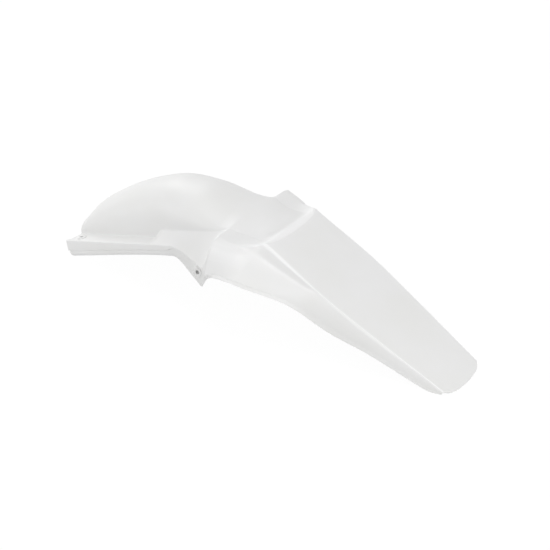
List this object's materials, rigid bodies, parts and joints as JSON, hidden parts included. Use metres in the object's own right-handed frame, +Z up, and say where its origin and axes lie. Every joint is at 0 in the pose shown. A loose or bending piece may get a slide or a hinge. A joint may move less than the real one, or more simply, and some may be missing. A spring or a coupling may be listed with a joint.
{
  "type": "motorcycle rear fender",
  "caption": "Moulded plastic rear fender: wheel arch with side rails and legs, flared ears, and a flat tapering tail with turned-down sides.",
  "frame": {"origin": "middle of the footprint on the ground, with the fender standing on its rail tips and its tail's end", "axes": "+X to the tail, +Y to the motorcycle's right side, +Z up; the fender is symmetric about Y = 0"},
  "size_m": [0.6508, 0.2436, 0.1603],
  "materials": {
    "white_plastic": "gloss moulded polypropylene"
  },
  "bodies": {
    "root": {"rear_fender": "white_plastic"}
  },
  "joints": []
}
